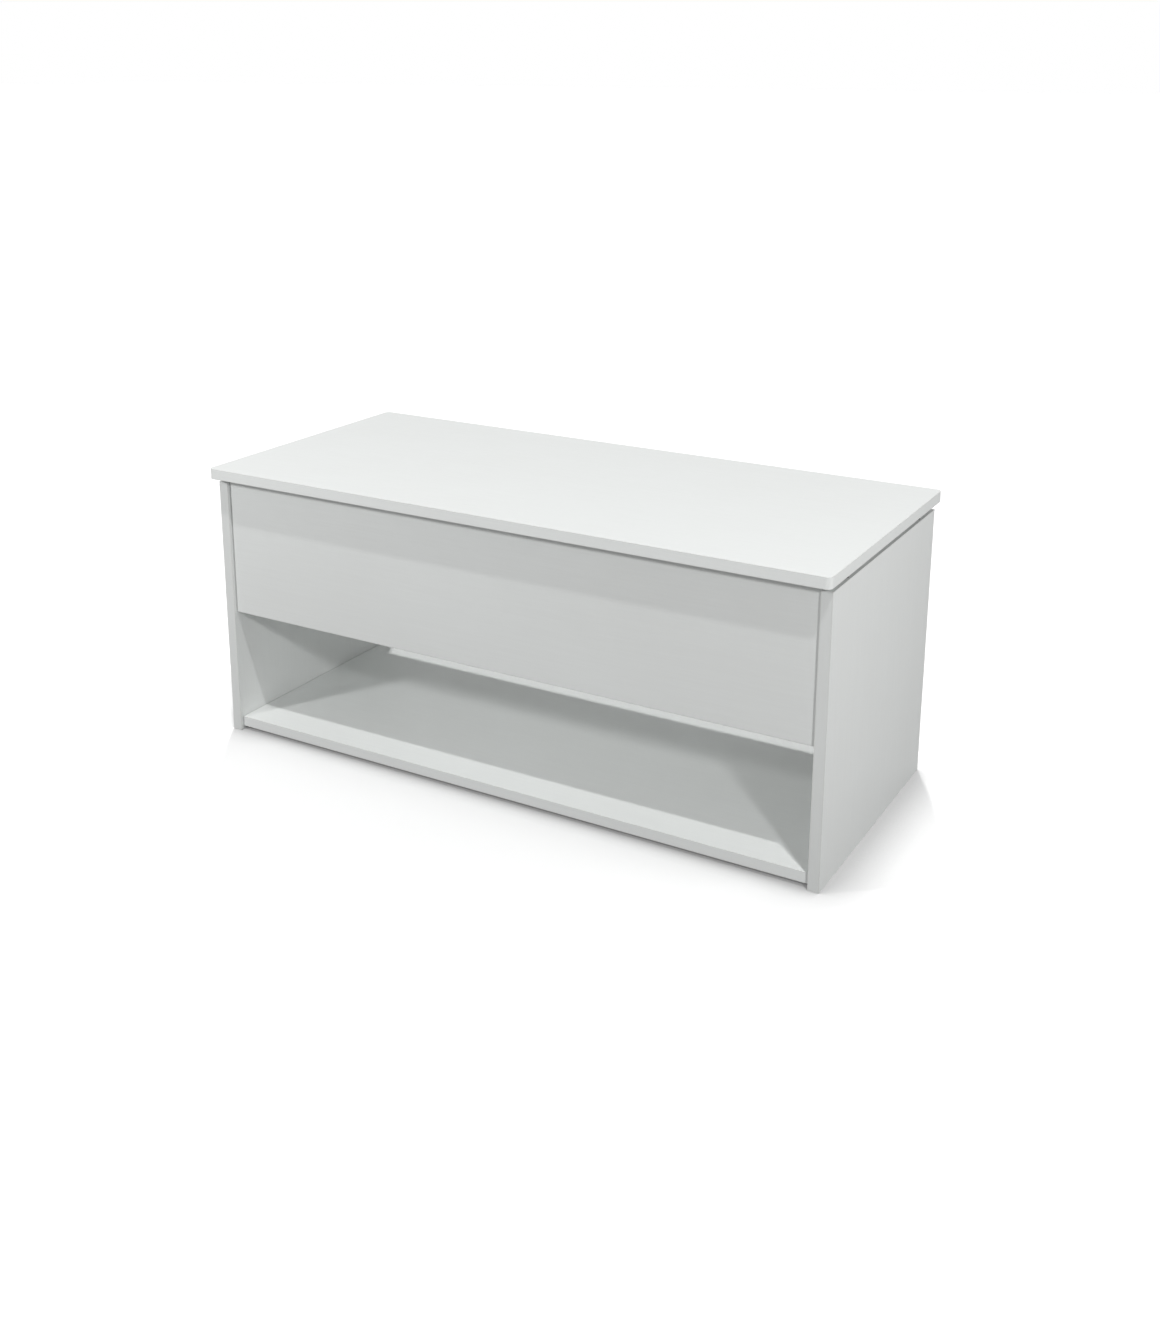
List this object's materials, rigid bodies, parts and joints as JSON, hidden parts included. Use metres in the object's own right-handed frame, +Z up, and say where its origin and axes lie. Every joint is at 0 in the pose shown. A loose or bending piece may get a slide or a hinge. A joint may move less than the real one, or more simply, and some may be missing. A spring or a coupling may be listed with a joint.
{
  "type": "lift top coffee table",
  "caption": "Rectangular board coffee table with an open lower shelf and a hidden compartment under a lid that lifts and moves forward, level, on sprung parallelogram hinges.",
  "frame": {"origin": "on the floor, under the middle of the lid", "axes": "+X along the table to the right seen from the front, +Y from the front to the back, +Z up"},
  "size_m": [1, 0.45, 0.435],
  "materials": {
    "white_board": "satin white melamine on particle board",
    "hinge_steel": "black powder coat",
    "zinc_steel": "bright zinc plate",
    "spring_steel": "oiled spring wire",
    "dark_rubber": "matt",
    "black_plastic": "moulded"
  },
  "bodies": {
    "root": {"side_panel_left": "white_board", "side_panel_right": "white_board", "front_panel": "white_board", "back_panel": "white_board", "compartment_floor": "white_board", "bottom_shelf": "white_board", "base_bracket_left": "hinge_steel", "base_pin_front_left": "zinc_steel", "base_pin_rear_left": "zinc_steel", "spring_post_base_left": "zinc_steel", "lift_spring_left": "spring_steel", "base_screw_left_1": "zinc_steel", "base_screw_left_2": "zinc_steel", "base_screw_left_3": "zinc_steel", "bumper_front_left": "dark_rubber", "bumper_back_left": "dark_rubber", "glide_front_left": "black_plastic", "glide_back_left": "black_plastic", "cam_lock_front_left_lower": "zinc_steel", "cam_lock_front_left_upper": "zinc_steel", "cam_lock_back_left_lower": "zinc_steel", "cam_lock_back_left_upper": "zinc_steel", "base_bracket_right": "hinge_steel", "base_pin_front_right": "zinc_steel", "base_pin_rear_right": "zinc_steel", "spring_post_base_right": "zinc_steel", "lift_spring_right": "spring_steel", "base_screw_right_1": "zinc_steel", "base_screw_right_2": "zinc_steel", "base_screw_right_3": "zinc_steel", "bumper_front_right": "dark_rubber", "bumper_back_right": "dark_rubber", "glide_front_right": "black_plastic", "glide_back_right": "black_plastic", "cam_lock_front_right_lower": "zinc_steel", "cam_lock_front_right_upper": "zinc_steel", "cam_lock_back_right_lower": "zinc_steel", "cam_lock_back_right_upper": "zinc_steel"},
    "rear_arm_left": {"rear_arm_left": "hinge_steel", "spring_post_arm_left": "zinc_steel"},
    "rear_arm_right": {"rear_arm_right": "hinge_steel", "spring_post_arm_right": "zinc_steel"},
    "front_arm_left": {"front_arm_left": "hinge_steel"},
    "front_arm_right": {"front_arm_right": "hinge_steel"},
    "lid": {"lift_top": "white_board", "lid_bracket_left": "hinge_steel", "lid_pin_front_left": "zinc_steel", "lid_pin_rear_left": "zinc_steel", "lid_screw_left_1": "zinc_steel", "lid_screw_left_2": "zinc_steel", "lid_screw_left_3": "zinc_steel", "lid_bracket_right": "hinge_steel", "lid_pin_front_right": "zinc_steel", "lid_pin_rear_right": "zinc_steel", "lid_screw_right_1": "zinc_steel", "lid_screw_right_2": "zinc_steel", "lid_screw_right_3": "zinc_steel"}
  },
  "joints": [
    {"name": "lift", "type": "hinge", "parent": "root", "child": "rear_arm_left", "pos_m": [-0.4752, -0.07389, 0.31964], "axis": [1, 0, 0], "range_deg": [0, 108], "deforming": ["lift_spring_left", "lift_spring_right"]},
    {"name": "lid_level", "type": "hinge", "parent": "rear_arm_left", "child": "lid", "pos_m": [-0.4752, 0.157, 0.36864], "axis": [1, 0, 0], "range_deg": [-108, 0]},
    {"name": "rear_arm_right_swing", "type": "hinge", "parent": "root", "child": "rear_arm_right", "pos_m": [0.4752, -0.07389, 0.31964], "axis": [1, 0, 0], "range_deg": [0, 108]},
    {"name": "front_arm_left_swing", "type": "hinge", "parent": "root", "child": "front_arm_left", "pos_m": [-0.4752, -0.12826, 0.345], "axis": [1, 0, 0], "range_deg": [0, 108]},
    {"name": "front_arm_right_swing", "type": "hinge", "parent": "root", "child": "front_arm_right", "pos_m": [0.4752, -0.12826, 0.345], "axis": [1, 0, 0], "range_deg": [0, 108]}
  ],
  "couplings": [
    {"joint": "lid_level", "follows": "lift", "ratio": -1},
    {"joint": "rear_arm_right_swing", "follows": "lift", "ratio": 1},
    {"joint": "front_arm_left_swing", "follows": "lift", "ratio": 1},
    {"joint": "front_arm_right_swing", "follows": "lift", "ratio": 1}
  ]
}
